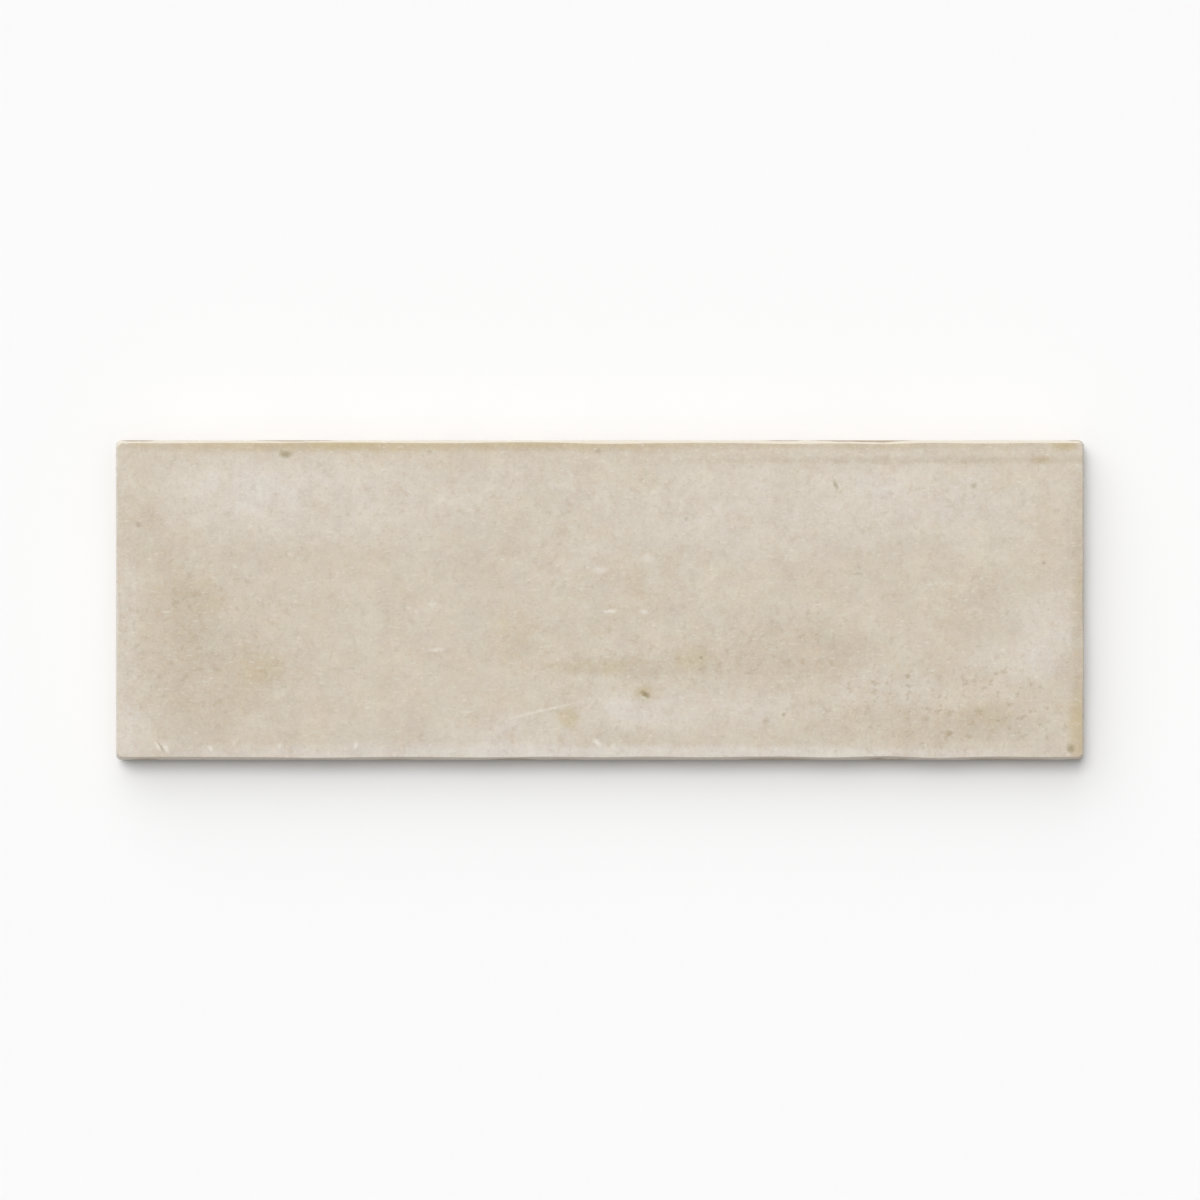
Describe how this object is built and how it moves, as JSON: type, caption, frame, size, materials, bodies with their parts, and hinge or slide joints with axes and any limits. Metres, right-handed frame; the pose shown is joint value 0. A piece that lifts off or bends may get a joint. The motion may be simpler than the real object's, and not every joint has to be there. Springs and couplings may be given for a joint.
{
  "type": "porcelain tile",
  "caption": "Long rectangular glazed porcelain wall tile with softly wavy face edges, rounded arrises and a shallow pocketed key pattern on its back.",
  "frame": {"origin": "centre of the tile's back, on the plane of its key ribs", "axes": "+X along the length, +Y along the width, +Z out of the glazed face"},
  "size_m": [0.2, 0.066, 0.009],
  "materials": {
    "glazed_porcelain": "satin"
  },
  "bodies": {
    "root": {"tile": "glazed_porcelain"}
  },
  "joints": []
}
